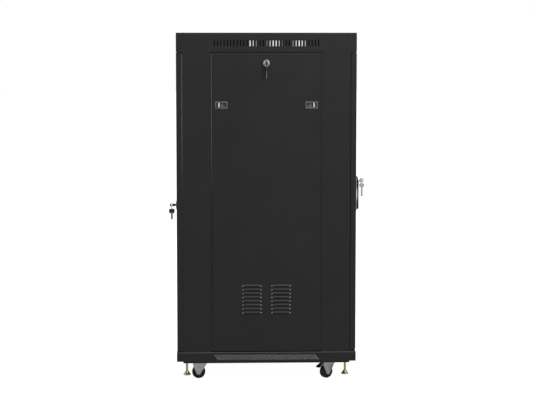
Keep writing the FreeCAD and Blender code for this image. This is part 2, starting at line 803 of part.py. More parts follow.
def build_front_door():
    end = -1
    low = "front_low"
    block = door_block("front_block", end, low)
    face_y = "-(body_half - plate)"
    back_y = "-door_back + 1"
    window_y = ("-body_half - 1", back_y)
    window = box("window", around(0, "window_half"), window_y, ("window_low", "window_high"))
    wide = "window_half + rebate"
    seat_z = ("window_low - rebate", "window_high + rebate")
    seat = box("glass_seat", around(0, wide), (face_y, back_y), seat_z)
    inside = around(0, "body_half - plate")
    channel = box("door_channel", inside, (face_y, back_y), (f"{low} + plate", "leaf_top - plate"))
    wall = "window_half + rebate + plate"
    wall_z = ("window_low - rebate - plate", "window_high + rebate + plate")
    inner_walls = box("inner_walls", around(0, wall), (face_y, "-door_back"), wall_z)
    shell = cut("front_shell", block, channel)
    blocks, bores = hinge_blocks(end, low)
    whole = fuse("front_joined", shell, inner_walls, *blocks)
    slots = [
        vent_column("vent_right", end, 1, 200, 82),
        vent_column("vent_left_low", end, -1, 200, 34),
        vent_column("vent_left_high", end, -1, 740, 28),
    ]
    holes = [
        rod("spindle_hole", "y", "spindle_round + 0.3", "handle_x", "-body_half - 1", "spindle_high", 4),
    ]
    node("front_door_frame", cut("front_cut", whole, window, seat, *bores, *slots, *holes))

    glass_x = around(0, "window_half + rebate - 0.5")
    glass_z = ("window_low - rebate + 0.5", "window_high + rebate - 0.5")
    node("front_door_glass", box("glass_pane", glass_x, (face_y, f"{face_y} + glass"), glass_z))


def build_rear_door():
    end = 1
    low = "rear_low"
    block = door_block("rear_block", end, low)
    inside = around(0, "body_half - plate")
    deep = ("door_back - 1", "body_half - plate")
    hollow = box("rear_hollow", inside, deep, (f"{low} + plate", "leaf_top - plate"))
    blocks, bores = hinge_blocks(end, low)
    whole = fuse("rear_joined", cut("rear_shell", block, hollow), *blocks)
    slots = [
        vent_column("rear_vent_low_left", end, -0.5, 200, 12),
        vent_column("rear_vent_low_right", end, 0.5, 200, 12),
        vent_column("rear_vent_high_left", end, -0.5, 930, 12),
        vent_column("rear_vent_high_right", end, 0.5, 930, 12),
    ]
    lock_hole = rod("rear_lock_hole", "y", 10.2, "rear_lock_x", "body_half - 4", "rear_lock_high", 6)
    node("rear_door", cut("rear_cut", whole, *bores, *slots, lock_hole))

    turn = Rotation(Vector(0, 0, 1), -90)
    spot = ("rear_lock_x", "body_half", 0, turn)
    node("rear_lock_housing", lock_housing("rear_lock_high", 26), *spot)
    cam_z = ("rear_lock_high - 7", "rear_lock_high + 30")
    cylinder = lock_cylinder("rear_cylinder", "rear_lock_high", 34, (-7, 7), cam_z)
    node("rear_lock", cylinder, *spot)
    node("rear_key", key_shape("key_rear", "rear_lock_high", 10, 6, 19, 9, 10, 18), *spot)
    node("rear_spare_key", spare_key_shape("spare_rear", "rear_lock_high", 18, 19, 49, 4, 7.5), *spot)


def build_handle():
    x = "handle_x"
    plate_y = ("-handle_plate", "-body_half")
    plate = box("plate", around(x, "handle_half"), plate_y, ("handle_low", "handle_high"))
    plate = rounded("plate_ends", plate, 6, lambda e: e.BoundBox.YLength > 1)
    plate = rounded("plate_soft", plate, 1, lambda e: abs(e.BoundBox.YMax + value("handle_plate")) < 0.01)
    hole = rod("plate_hole", "y", "spindle_round + 0.3", x, "-handle_plate - 1", "spindle_high", 8)
    node("front_handle_base", cut("plate_cut", plate, hole))

    shaft_y = "-handle_plate + 0.5"
    shaft = rod("shaft", "y", "spindle_round", x, shaft_y, "spindle_high", "handle_plate - 266.5")
    cam = box("spindle_cam", (f"{x} - 32", f"{x} + 8"), (-268, -266), around("spindle_high", 8))
    tongue_y = ("-lift_middle", "-handle_plate + 1")
    tongue = box("tongue", around(x, 4), tongue_y, around("spindle_high", 3.5))
    knuckle = rod("knuckle", "x", 3.2, f"{x} - 4", "-lift_middle", "spindle_high", 8)
    pivot = rod("pivot_hole", "x", 1.8, f"{x} - 5", "-lift_middle", "spindle_high", 10)
    node("front_spindle", cut("spindle_cut", fuse("spindle_solid", shaft, cam, tongue, knuckle), pivot))

    profile = [
        ("-lever_back", "spindle_high"),
        ("arc", "-lift_middle", "spindle_high - lift_middle + lever_back"),
        ("-lift_middle * 2 + lever_back", "spindle_high"),
        ("-lever_front", "spindle_high + 12"),
        ("-lever_front", "handle_high - 25"),
        ("-lever_back - 1.5", "handle_high - 3"),
        ("-lever_back", "handle_high - 2"),
        ("-lever_back", "spindle_high + 80"),
        ("arc", "-lever_back - 3", "spindle_high + 45"),
        ("-lever_back", "spindle_high + 10"),
    ]
    bow = prism("lever_bow", "YZ_Plane", profile, "lever_half * 2", both_ways=True)
    bow = rounded("lever_soft", bow, 1.5, lambda e: lever_outer_edge(e))
    gap_y = ("-lever_front - 3", "-lever_back + 1")
    gap = box("knuckle_gap", around(0, 4.3), gap_y, around("spindle_high", 6))
    bore = rod("cylinder_bore", "y", 6.3, 0, "-lever_front - 2", "front_lock_high", 14)
    pin = rod("lift_pin", "x", 1.5, "-lever_half + 1", "-lift_middle", "spindle_high", "lever_half * 2 - 2")
    node("front_handle_lever", fuse("lever", cut("lever_cut", bow, gap, bore), pin), x)

    high = "front_lock_high"
    face = rod("small_face", "y", 7.5, x, "-lever_front - 1.2", high, 0.9)
    barrel = rod("small_barrel", "y", 6, x, "-lever_front - 0.5", high, "lever_front - lever_back + 0.2")
    keyway = box("small_keyway", around(x, 1.2), ("-lever_front - 2", "-lever_front + 5"), around(high, 3.4))
    node("front_lock", cut("small_cylinder", fuse("small_solid", face, barrel), keyway))

    turn = Rotation(Vector(0, 0, 1), 90)
    spot = (x, "-lever_front", 0, turn)
    node("front_key", front_key_shape(high), *spot)
    node("front_spare_key", spare_key_shape("spare_front", high, 11, 17, 54, 2, 5.5), *spot)


def lever_outer_edge(edge):
    """An edge along the lever's outer side, away from the door."""
    side = value("lever_half")
    on_side = abs(abs(edge.BoundBox.XMin) - side) < 0.01 and edge.BoundBox.XLength < 0.01
    return on_side and edge.BoundBox.YMin < -value("lever_front") + 0.01 and edge.BoundBox.ZLength > 20


def front_key_shape(high):
    """A small flat metal key, its bow close to the lock."""
    blade = box("thin_blade", (-7, 4.5), around(0, 1), around(high, 3.2))
    bow = rod("thin_bow", "y", 8, -9.5, -1.1, high, 2.2)
    hole = rod("thin_hole", "y", 1.9, -11, -10, high, 20)
    return cut("thin_key", fuse("thin_solid", blade, bow), hole)


def build_hinge_pins():
    pins = []
    for end, low in ((-1, "front_low"), (1, "rear_low")):
        spot = ("pin_middle", f"{end} * pin_middle")
        bracket_y = signed(end, "base_deep", "body_half - 2")
        plate = box("hinge_plate", ("post_face - 26", "post_face"), bracket_y, (f"{low} - 4", f"{low} - 1"))
        pins.append(fuse("low_pin", plate, rod("pin", "z", "pin_round", *spot, f"{low} - 4", 20)))
        top = rod("pin", "z", "pin_round", *spot, "leaf_top - 16", "frame_low + post_wall - leaf_top + 16")
        head = rod("pin_head", "z", 4, *spot, "frame_low + post_wall", 2)
        pins.append(fuse("high_pin", top, head))
    node("hinge_pins", group("pins", pins))


# ---------------------------------------------------------------- casters and levelling feet


def build_casters():
    plates = []
    for side, end in CORNERS:
        spot = (f"{side} * caster_x", caster_line(end))
        flat = box("plate", around(spot[0], 42), around(spot[1], 32), ("base_low - 2.5", "base_low"))
        flat = rounded("plate_round", flat, 5, lambda e: e.BoundBox.ZLength > 1)
        holes = [
            rod("hole", "z", 3.2, f"{spot[0]} + {u}", f"{spot[1]} + {v}", "base_low - 4", 6)
            for u, v in PLATE_HOLES
        ]
        race = rod("race", "z", 23, *spot, "base_low - 10", 8)
        race = rounded("race_round", race, 3, lambda e: lies_at(e, "Z", value("base_low") - 10))
        pin = rod("kingpin", "z", 4, *spot, "base_low - 16", 8)
        rivet = rod("rivet", "z", 7, *spot, "base_low - 18", 3.2)
        plates.append(cut("caster_plate", fuse("plate_solid", flat, race, pin, rivet), *holes))
    node("caster_plates", group("plates", plates))
    for side, end in CORNERS:
        build_caster(side, end)


def build_caster(side, end):
    """Made with its swivel axis on the z axis and its axle across x, then turned and put in place."""
    name = corner_name(side, end)
    braked = end < 0
    angle = FRONT_CASTER_ANGLE if braked else REAR_CASTER_ANGLE
    turn = Rotation(Vector(0, 0, 1), angle)
    spot = (f"{side} * caster_x", caster_line(end), 0, turn)
    arm = [
        (-13, 57.7),
        (-13, 53.5),
        ("trail - 8", "wheel_round - 2"),
        ("arc", "trail", "wheel_round - 9"),
        ("trail + 8", "wheel_round - 2"),
        (35, 47),
        (35, 57.7),
    ]
    arms = prism(f"arms_{name}", "XZ_Plane", arm, "wheel_half * 2 + 7.6", both_ways=True)
    crown = rod("crown", "z", 22, 0, 0, 53.5, 4.2)
    inside = around(0, "wheel_half + 1.3")
    well = box("wheel_well", (-20, 60), inside, (10, 53.5))
    mouth = box("pedal_mouth", (23, 40), inside, (50, 60))
    hole = rod("kingpin_hole", "z", 4.4, 0, 0, 50, 10)
    axle = rod("axle_rod", "y", "axle", "trail", "-wheel_half - 5.5", "wheel_round", "wheel_half * 2 + 11")
    pieces = [cut("fork_cut", fuse("fork_solid", arms, crown), well, mouth, hole), axle]
    if braked:
        pieces.append(rod("pedal_pin", "y", 2, 31, "-wheel_half - 4.5", 52, "wheel_half * 2 + 9"))
    node(f"caster_fork_{name}", fuse(f"fork_{name}", *pieces), *spot)

    tread = [
        ("wheel_half", "axle + 0.3"),
        ("wheel_half", 9),
        ("wheel_half - 2", 11),
        ("wheel_half - 2", 17),
        ("wheel_half - 0.5", 18.5),
        ("wheel_half - 0.5", "wheel_round - 3"),
        ("arc", "wheel_half - 1.4", "wheel_round - 0.9"),
        ("wheel_half - 3.5", "wheel_round"),
    ]
    mirrored = [(*p[:-2], f"-({p[-2]})", p[-1]) for p in reversed(tread)]
    wheel = spun(f"wheel_{name}", "XY_Plane", tread + mirrored, "H_Axis")
    upright = turn.multiply(Rotation(Vector(0, 0, 1), 90))
    wheel_x = f"{side} * caster_x + trail * {math.cos(math.radians(angle))}"
    wheel_y = f"{caster_line(end)} + trail * {math.sin(math.radians(angle))}"
    node(f"caster_wheel_{name}", wheel, wheel_x, wheel_y, "wheel_round", upright)

    if braked:
        sleeve = rod("pedal_sleeve", "y", 3.6, 31, "-wheel_half - 0.7", 52, "wheel_half * 2 + 1.4")
        plate = [(31, 53.6), (31, 50.4), (47.5, 41.5), (52.5, 39.5), (52.5, 42.5), (49, 44.5)]
        tread_plate = prism(f"pedal_{name}", "XZ_Plane", plate, "wheel_half * 2 + 1.4", both_ways=True)
        hole = rod("pedal_hole", "y", 2.3, 31, -20, 52, 40)
        pedal = cut(f"pedal_cut_{name}", fuse("pedal_solid", sleeve, tread_plate), hole)
        node(f"caster_brake_{name}", pedal, *spot)


def build_feet():
    profile = [
        (0, "foot_low"),
        ("foot_round - 1", "foot_low"),
        ("foot_round", "foot_low + 1"),
        ("foot_round", "foot_low + 3"),
        (8, "foot_low + 9"),
        (6.5, "foot_low + 12"),
        ("stud", "foot_low + 12"),
        ("stud", "base_high + 14"),
        (0, "base_high + 14"),
    ]
    for side, end in CORNERS:
        name = corner_name(side, end)
        turned = spun(f"foot_{name}", "XZ_Plane", profile)
        nut = doc.addObject("Part::Prism", "lock_nut")
        nut.Polygon = 6
        nut.Circumradius = 7.5
        nut.Height = 6
        place(nut, 0, 0, "base_low - 8")
        foot = fuse(f"foot_{name}_solid", turned, nut)
        node(f"levelling_foot_{name}", foot, f"{side} * foot_x", f"{end} * foot_y", 0)


# ---------------------------------------------------------------- the whole cabinet


def build_all():
    fill_sheet()
    build_base_frame()
    build_skirt()
    build_posts()
    build_top_frame()
    build_rails()
    build_rail_brackets()
    build_fasteners()
    build_top_cover()
    build_fan()
    for side in (-1, 1):
        build_side(side)
    build_front_door()
    build_rear_door()
    build_handle()
    build_hinge_pins()
    build_casters()
    build_feet()
    doc.recompute()


def check_and_write():
    failed = [o.Name for o in doc.Objects if {"Invalid", "Error"} & set(o.State)]
    for label, thing in NODES.items():
        if thing.Shape.isNull() or not thing.Shape.isValid():
            failed.append(label)
    if failed:
        raise SystemExit(f"these objects failed: {failed}")
    os.makedirs("parts", exist_ok=True)
    for label, thing in NODES.items():
        thing.Shape.exportStep(f"parts/{label}.step")
    print(len(NODES), "sub-parts written")


build_all()
check_and_write()
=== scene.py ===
"""The looks of a 22-unit network cabinet: finishes, seals, brushes, rail numbers, light and camera.

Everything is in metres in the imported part's own frame: X runs across, -Y is the glazed front door,
Z is up and the wheels stand on Z = 0.
"""
import json
import math

import bmesh
import bpy
import numpy as np
from mathutils import Matrix, Vector


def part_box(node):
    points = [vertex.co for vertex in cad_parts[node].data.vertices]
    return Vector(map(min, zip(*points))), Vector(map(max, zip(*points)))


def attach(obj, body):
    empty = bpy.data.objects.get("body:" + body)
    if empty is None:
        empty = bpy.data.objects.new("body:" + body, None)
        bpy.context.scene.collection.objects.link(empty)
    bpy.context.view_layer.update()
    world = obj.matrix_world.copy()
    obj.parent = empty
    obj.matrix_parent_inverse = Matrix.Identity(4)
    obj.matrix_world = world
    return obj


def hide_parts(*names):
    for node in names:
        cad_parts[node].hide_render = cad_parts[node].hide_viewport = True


MM = 0.001
SIDES = ("left", "right")
UNITS = 22
UNIT_PITCH = 44.45 * MM

# Marks on the side panels: distances from the panel's middle, and the height of the top louvre.
GRIP_NEAR = 155 * MM
SCREW_SPOT = 136 * MM
LOUVRE_INNER = 18.7 * MM
LOUVRE_OUTER = 78.8 * MM
LOUVRE_TOP = 330.5 * MM
LOUVRE_PITCH = 13 * MM

# Faces and edges, as distances from the cabinet's middle: the posts' and the doors' outer faces and
# the panels' ends and the dust filters' ends along Y, and the panels' inner faces along X.
POST_FACE = 280 * MM
DOOR_FACE = 300 * MM
PANEL_HALF = 182.5 * MM
FILTER_HALF = 186 * MM
PANEL_BACK = 286 * MM

# The camera stands off the left side, a little towards the rear, and looks slightly down.
CAMERA_PLACE = Vector((-4.958, 0.142, 1.132))
CAMERA_PAN = 1.745
CAMERA_TILT = 4.74
CAMERA_LENS = 94.8
CAMERA_RISE = -0.07
SENSOR_WIDE = 36.0

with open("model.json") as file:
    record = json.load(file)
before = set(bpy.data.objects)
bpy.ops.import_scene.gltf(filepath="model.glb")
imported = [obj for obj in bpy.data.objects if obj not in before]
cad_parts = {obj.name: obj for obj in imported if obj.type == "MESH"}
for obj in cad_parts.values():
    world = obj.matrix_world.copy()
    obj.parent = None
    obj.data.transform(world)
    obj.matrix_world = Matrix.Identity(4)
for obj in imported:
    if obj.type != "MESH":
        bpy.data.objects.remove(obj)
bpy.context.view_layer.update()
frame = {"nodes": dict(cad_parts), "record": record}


# ---------------------------------------------------------------- shader building blocks

class Finish:
    """One node-based material, with short calls for the nodes that the finishes share."""

    def __init__(self, name):
        self.material = bpy.data.materials.new(name)
        self.material.use_nodes = True
        self.tree = self.material.node_tree
        self.shader = self.tree.nodes["Principled BSDF"]
        coordinates = self.tree.nodes.new("ShaderNodeTexCoord")
        self.place = coordinates.outputs["Object"]
        self.parts = None

    def set(self, **values):
        """Constant shader inputs, with _ for the blanks in their names."""
        for name, value in values.items():
            self.shader.inputs[name.replace("_", " ")].default_value = value
        return self

    def join(self, source, target):
        """Links an output to an input, or writes a plain number or colour to it."""
        if isinstance(source, bpy.types.NodeSocket):
            self.tree.links.new(source, target)
        else:
            target.default_value = source

    def drive(self, name, source):
        """Feeds one of the main shader's inputs."""
        self.join(source, self.shader.inputs[name])

    def maths(self, operation, first, second=0.0):
        """One arithmetic step on numbers or outputs."""
        made = self.tree.nodes.new("ShaderNodeMath")
        made.operation = operation
        self.join(first, made.inputs[0])
        self.join(second, made.inputs[1])
        return made.outputs[0]

    def axis(self, letter):
        """One coordinate of the point at rest, in metres."""
        if self.parts is None:
            self.parts = self.tree.nodes.new("ShaderNodeSeparateXYZ")
            self.join(self.place, self.parts.inputs[0])
        return self.parts.outputs[letter]

    def distance_from(self, letter):
        """How far the point lies from the middle plane across that axis."""
        return self.maths("ABSOLUTE", self.axis(letter))

    def above(self, source, limit):
        """1 where source is over limit, else 0."""
        return self.maths("GREATER_THAN", source, limit)

    def between(self, source, low, high):
        """1 where source lies from low to high, else 0."""
        return self.maths("MULTIPLY", self.above(source, low), self.maths("LESS_THAN", source, high))

    def disc(self, across, along, radius):
        """1 where the point (across, along) lies within radius of zero, else 0."""
        squares = self.maths("ADD", self.maths("POWER", across, 2.0), self.maths("POWER", along, 2.0))
        return self.maths("LESS_THAN", squares, radius ** 2)

    def scaled_place(self, x, y, z):
        """The point at rest, stretched along each axis."""
        made = self.tree.nodes.new("ShaderNodeMapping")
        self.join(self.place, made.inputs["Vector"])
        made.inputs["Scale"].default_value = (x, y, z)
        return made.outputs[0]

    def noise(self, scale, detail=3.0, rough=0.5, place=None):
        """Cloudy noise, with about scale features to the metre."""
        made = self.tree.nodes.new("ShaderNodeTexNoise")
        self.join(place or self.place, made.inputs["Vector"])
        made.inputs["Scale"].default_value = scale
        made.inputs["Detail"].default_value = detail
        made.inputs["Roughness"].default_value = rough
        return made.outputs["Fac"]

    def cells(self, scale, output="Distance"):
        """Voronoi cells."""
        made = self.tree.nodes.new("ShaderNodeTexVoronoi")
        self.join(self.place, made.inputs["Vector"])
        made.inputs["Scale"].default_value = scale
        return made.outputs[output]

    def spread(self, source, low, high, new_low, new_high):
        """Maps low to high onto new_low to new_high, and clamps."""
        made = self.tree.nodes.new("ShaderNodeMapRange")
        self.join(source, made.inputs["Value"])
        made.inputs["From Min"].default_value = low
        made.inputs["From Max"].default_value = high
        made.inputs["To Min"].default_value = new_low
        made.inputs["To Max"].default_value = new_high
        return made.outputs["Result"]

    def colour(self):
        """The output that feeds the base colour so far."""
        return self.shader.inputs["Base Color"].links[0].from_socket

    def mix(self, share, first, second):
        """A colour between two; each may be a grey number, a colour or an output."""
        made = self.tree.nodes.new("ShaderNodeMix")
        made.data_type = "RGBA"
        self.join(share, made.inputs[0])
        for source, target in ((first, made.inputs[6]), (second, made.inputs[7])):
            if isinstance(source, (int, float)):
                source = (source, source, source, 1)
            elif isinstance(source, tuple):
                source = (*source[:3], 1)
            self.join(source, target)
        return made.outputs[2]

    def edges(self, width, flat=0.97, sharp=0.75):
        """1 on edges about width metres wide and 0 on flat stretches."""
        bevel = self.tree.nodes.new("ShaderNodeBevel")
        bevel.samples = 6
        bevel.inputs["Radius"].default_value = width
        geometry = self.tree.nodes.new("ShaderNodeNewGeometry")
        product = self.tree.nodes.new("ShaderNodeVectorMath")
        product.operation = "DOT_PRODUCT"
        self.join(bevel.outputs[0], product.inputs[0])
        self.join(geometry.outputs["Normal"], product.inputs[1])
        return self.spread(product.outputs["Value"], flat, sharp, 0, 1)

    def relief(self, height, strength, depth, soften=0.0):
        """Bump from a height, over edges that look rounded by soften metres."""
        made = self.tree.nodes.new("ShaderNodeBump")
        made.inputs["Strength"].default_value = strength
        made.inputs["Distance"].default_value = depth
        self.join(height, made.inputs["Height"])
        if soften:
            bevel = self.tree.nodes.new("ShaderNodeBevel")
            bevel.samples = 4
            bevel.inputs["Radius"].default_value = soften
            self.join(bevel.outputs[0], made.inputs["Normal"])
        self.drive("Normal", made.outputs[0])


# ---------------------------------------------------------------- finishes

def powder_coat(name="powder_coat_textured"):
    """Satin black powder coat: fine orange peel, faint cloudiness, wear and a painted highlight on edges.

    Gives the Finish itself, so that a caller can change it further.
    """
    made = Finish(name).set(Metallic=0.0, Specular_IOR_Level=0.3)
    cloud = made.noise(5, 4, 0.6)
    speckle = made.noise(900, 2, 0.6)
    base = made.mix(made.spread(cloud, 0.3, 0.7, 0, 1), (0.0098, 0.0099, 0.0104), (0.0118, 0.0118, 0.0121))
    base = made.mix(made.spread(speckle, 0.55, 0.75, 0, 0.3), base, 0.024)
    # Paler edges: partly rubbed wear, partly a painted highlight for the light that the rounded edges catch.
    made.drive("Base Color", made.mix(made.edges(0.9 * MM), base, (0.072, 0.068, 0.066)))
    smudge = made.noise(14, 5, 0.65)
    made.drive("Roughness", made.spread(smudge, 0.3, 0.7, 0.40, 0.52))
    grain = made.maths("ADD", made.noise(700, 2, 0.55), made.maths("MULTIPLY", made.noise(2200, 1, 0.5), 0.5))
    made.relief(grain, 0.35, 0.12 * MM, soften=0.6 * MM)
    return made


def panel_coat():
    """The coat on a side panel, with painted glints at the ends of the louvres."""
    made = powder_coat("powder_coat_louvred")
    reach = made.distance_from("Y")
    inner = made.maths("ABSOLUTE", made.maths("SUBTRACT", reach, LOUVRE_INNER))
    outer = made.maths("ABSOLUTE", made.maths("SUBTRACT", reach, LOUVRE_OUTER))
    across = made.maths("MINIMUM", inner, outer)
    height = made.maths("SUBTRACT", made.axis("Z"), LOUVRE_TOP)
    along = made.maths("PINGPONG", height, LOUVRE_PITCH / 2)
    # Painted highlight: pale dots at the ends of the louvres stand in for glints on their pressed ends.
    spot = made.disc(across, along, 1.7 * MM)
    rows = made.between(made.axis("Z"), LOUVRE_TOP - 7.5 * LOUVRE_PITCH, LOUVRE_TOP + LOUVRE_PITCH / 2)
    plain = made.colour()
    made.drive("Base Color", made.mix(made.maths("MULTIPLY", spot, rows), plain, 0.42))
    return made.material


def frame_coat():
    """Matt black dipped paint on the frame, with paler corners: rubbed wear and a painted highlight."""
    made = Finish("frame_coat_matt").set(Metallic=0.0, Specular_IOR_Level=0.3)
    cloud = made.noise(30, 4, 0.6)
    base = made.mix(made.spread(cloud, 0.35, 0.65, 0, 1), 0.012, 0.018)
    # Paler edges: partly rubbed wear, partly a painted highlight.
    made.drive("Base Color", made.mix(made.edges(0.7 * MM), base, (0.09, 0.088, 0.085)))
    made.drive("Roughness", made.spread(made.noise(60), 0.3, 0.7, 0.5, 0.65))
    made.relief(made.noise(1200, 2), 0.3, 0.08 * MM, soften=0.4 * MM)
    return made.material


def zinc_plate(name="zinc_plate_bright", low=(0.50, 0.50, 0.49), high=(0.68, 0.68, 0.66)):
    """Zinc plate: soft spangle, rolling lines and dull handling marks."""
    made = Finish(name).set(Metallic=1.0)
    spangle = made.cells(160, "Color")
    lines = made.noise(90, 3, 0.6, made.scaled_place(1, 1, 14))
    base = made.mix(made.spread(lines, 0.3, 0.7, 0, 1), low, high)
    made.drive("Base Color", made.mix(0.06, base, spangle))
    made.drive("Roughness", made.spread(made.noise(45, 4), 0.3, 0.7, 0.26, 0.44))
    made.relief(made.noise(350, 3), 0.25, 0.05 * MM, soften=0.3 * MM)
    return made.material


def foot_plate(pad_top):
    """Chromed pad below pad_top, yellow-passivated bell, nut and stud above it."""
    made = Finish("foot_plate_two_tone").set(Metallic=1.0)
    tone = made.noise(120, 3)
    yellow = made.mix(tone, (0.62, 0.42, 0.16), (0.80, 0.62, 0.30))
    bright = made.mix(tone, 0.62, 0.74)
    upper = made.above(made.axis("Z"), pad_top)
    made.drive("Base Color", made.mix(upper, bright, yellow))
    made.drive("Roughness", made.spread(tone, 0.3, 0.7, 0.16, 0.32))
    made.relief(made.noise(600), 0.2, 0.04 * MM, soften=0.3 * MM)
    return made.material


def wheel_nylon():
    """Moulded nylon: semi-gloss flanks and a tread scuffed by the floor."""
    made = Finish("wheel_nylon_moulded").set(Metallic=0.0, Specular_IOR_Level=0.45)
    scuff = made.spread(made.noise(260, 4, 0.7), 0.5, 0.72, 0, 1)
    base = made.mix(scuff, (0.010, 0.010, 0.011), (0.032, 0.031, 0.030))
    # Paler rims: a painted highlight along the wheel's edges.
    made.drive("Base Color", made.mix(made.edges(0.8 * MM), base, 0.05))
    made.drive("Roughness", made.spread(made.noise(80), 0.3, 0.7, 0.32, 0.5))
    made.relief(made.noise(500, 3), 0.25, 0.1 * MM, soften=0.5 * MM)
    return made.material


def brake_steel(cap_top):
    """A plated pressing whose treadle, below cap_top, is dipped in black plastic."""
    made = Finish("brake_steel_capped")
    cap = made.maths("LESS_THAN", made.axis("Z"), cap_top)
    tone = made.noise(90, 3)
    made.drive("Base Color", made.mix(cap, made.mix(tone, 0.42, 0.58), made.mix(tone, 0.010, 0.018)))
    made.drive("Metallic", made.maths("SUBTRACT", 1.0, cap))
    made.drive("Roughness", made.spread(made.noise(70, 4), 0.3, 0.7, 0.3, 0.5))
    made.relief(made.noise(500, 3), 0.25, 0.05 * MM, soften=0.3 * MM)
    return made.material


def caster_plate(plate_low):
    """Black top plate, above plate_low, over a bright pressed bearing race."""
    made = Finish("caster_plate_two_tone")
    plate = made.above(made.axis("Z"), plate_low)
    tone = made.noise(90, 3)
    made.drive("Base Color", made.mix(plate, made.mix(tone, 0.52, 0.70), made.mix(tone, 0.010, 0.016)))
    made.drive("Metallic", made.maths("SUBTRACT", 1.0, plate))
    made.drive("Roughness", made.spread(made.noise(60, 4), 0.3, 0.7, 0.22, 0.42))
    made.relief(made.noise(400, 3), 0.25, 0.05 * MM, soften=0.3 * MM)
    return made.material


def moulded(name, low, high, rough_low, rough_high, grain=900):
    """Moulded plastic: fine spark-eroded grain, with a painted highlight on its edges.

    Gives the Finish itself, so that a caller can change it further.
    """
    made = Finish(name).set(Metallic=0.0, Specular_IOR_Level=0.45)
    base = made.mix(made.spread(made.noise(40, 3), 0.3, 0.7, 0, 1), low, high)
    # Paler edges: a painted highlight.
    made.drive("Base Color", made.mix(made.edges(0.5 * MM), base, tuple(3 * c for c in high)))
    made.drive("Roughness", made.spread(made.noise(70), 0.3, 0.7, rough_low, rough_high))
    made.relief(made.noise(grain, 2), 0.3, 0.06 * MM, soften=0.3 * MM)
    return made


def latch_grey(lock_low):
    """Grey bezels of the latches, and the black ring of the lock above lock_low."""
    made = moulded("latch_grey_bezel", (0.085, 0.085, 0.092), (0.115, 0.115, 0.122), 0.4, 0.55)
    ring = made.above(made.axis("Z"), lock_low)
    plain = made.colour()
    made.drive("Base Color", made.mix(ring, plain, 0.012))
    return made.material


def latch_slider(low, dot_y, dot_z):
    """Dark slide with a light grey grip, from low to low + 7 mm, and a grey plate with a screw spot."""
    made = moulded("latch_slider_two_tone", (0.020, 0.020, 0.022), (0.026, 0.026, 0.028), 0.35, 0.5)
    reach = made.distance_from("Y")
    grip = made.between(reach, low, low + 7 * MM)
    inner = made.between(reach, low - 12 * MM, low - 4 * MM)
    plain = made.colour()
    tone = made.mix(inner, plain, 0.20)
    tone = made.mix(grip, tone, 0.55)
    cover = made.maths("LESS_THAN", reach, low - 14 * MM)
    across = made.maths("SUBTRACT", reach, dot_y)
    along = made.maths("SUBTRACT", made.axis("Z"), dot_z)
    dot = made.disc(across, along, 2.2 * MM)
    made.drive("Base Color", made.mix(cover, tone, made.mix(dot, 0.15, 0.015)))
    return made.material


def chrome(name="lock_chrome_polished", low=0.66, high=0.78, rough=(0.05, 0.16)):
    """Polished plate with hairline wipe marks."""
    made = Finish(name).set(Metallic=1.0)
    wipe = made.noise(700, 3, 0.7, made.scaled_place(1, 1, 0.2))
    made.drive("Base Color", made.mix(wipe, low, high))
    made.drive("Roughness", made.spread(made.noise(130, 4), 0.3, 0.7, *rough))
    made.relief(wipe, 0.12, 0.02 * MM, soften=0.2 * MM)
    return made.material


def key_finish(name, head_share):
    """A black moulded head on a nickel-plated blade; head_share(finish) is 1 on the head."""
    made = Finish(name)
    head = head_share(made)
    nickel = made.mix(made.noise(240, 3), (0.30, 0.27, 0.24), (0.48, 0.44, 0.40))
    black = made.mix(made.noise(300, 3), 0.010, 0.016)
    made.drive("Base Color", made.mix(head, nickel, black))
    made.drive("Metallic", made.maths("SUBTRACT", 1.0, head))
    made.drive("Roughness", made.spread(made.noise(160), 0.3, 0.7, 0.26, 0.42))
    made.relief(made.noise(900, 2), 0.25, 0.05 * MM, soften=0.3 * MM)
    return made.material


def key_metal():
    """Nickel-plated keys and their rings, brushed along their length."""
    made = Finish("key_metal_nickel").set(Metallic=1.0)
    tone = made.noise(200, 3, 0.6, made.scaled_place(1, 1, 4))
    made.drive("Base Color", made.mix(tone, (0.70, 0.66, 0.59), (0.88, 0.85, 0.79)))
    made.drive("Roughness", made.spread(made.noise(150), 0.3, 0.7, 0.2, 0.38))
    made.relief(made.noise(800, 2), 0.2, 0.04 * MM, soften=0.25 * MM)
    return made.material


def handle_black():
    """Glossier black lacquer of the door handle."""
    made = moulded("handle_black_lacquer", (0.008, 0.008, 0.009), (0.013, 0.013, 0.014), 0.25, 0.38, 1500)
    return made.material


def guard_wire():
    """Duller plate on the fan guard's wires."""
    return chrome("guard_wire_plated", 0.58, 0.70, (0.14, 0.26))


def tinted_glass():
    """Grey-tinted toughened glass with a film of dust."""
    made = Finish("tinted_glass_grey")
    made.set(Transmission_Weight=1.0, IOR=1.5, Metallic=0.0)
    film = made.spread(made.noise(7, 5, 0.6), 0.35, 0.75, 0, 1)
    made.drive("Base Color", made.mix(film, (0.24, 0.25, 0.26), (0.28, 0.29, 0.29)))
    made.drive("Roughness", made.spread(film, 0, 1, 0.0, 0.03))
    return made.material


def rubber():
    """Extruded black seal rubber, faintly chalky."""
    made = Finish("rubber_seal").set(Metallic=0.0, Specular_IOR_Level=0.3)
    bloom = made.noise(150, 4, 0.65)
    made.drive("Base Color", made.mix(made.spread(bloom, 0.4, 0.7, 0, 1), 0.010, 0.022))
    made.drive("Roughness", made.spread(bloom, 0.3, 0.7, 0.6, 0.8))
    made.relief(made.noise(1800, 2), 0.3, 0.05 * MM)
    return made.material


def foam():
    """Open-cell seal foam."""
    made = Finish("foam_seal").set(Metallic=0.0, Specular_IOR_Level=0.2)
    pores = made.cells(900)
    made.drive("Base Color", made.mix(made.spread(pores, 0.1, 0.6, 0, 1), 0.008, 0.030))
    made.drive("Roughness", made.spread(pores, 0, 1, 0.8, 0.95))
    made.relief(pores, 0.8, 0.4 * MM)
    return made.material


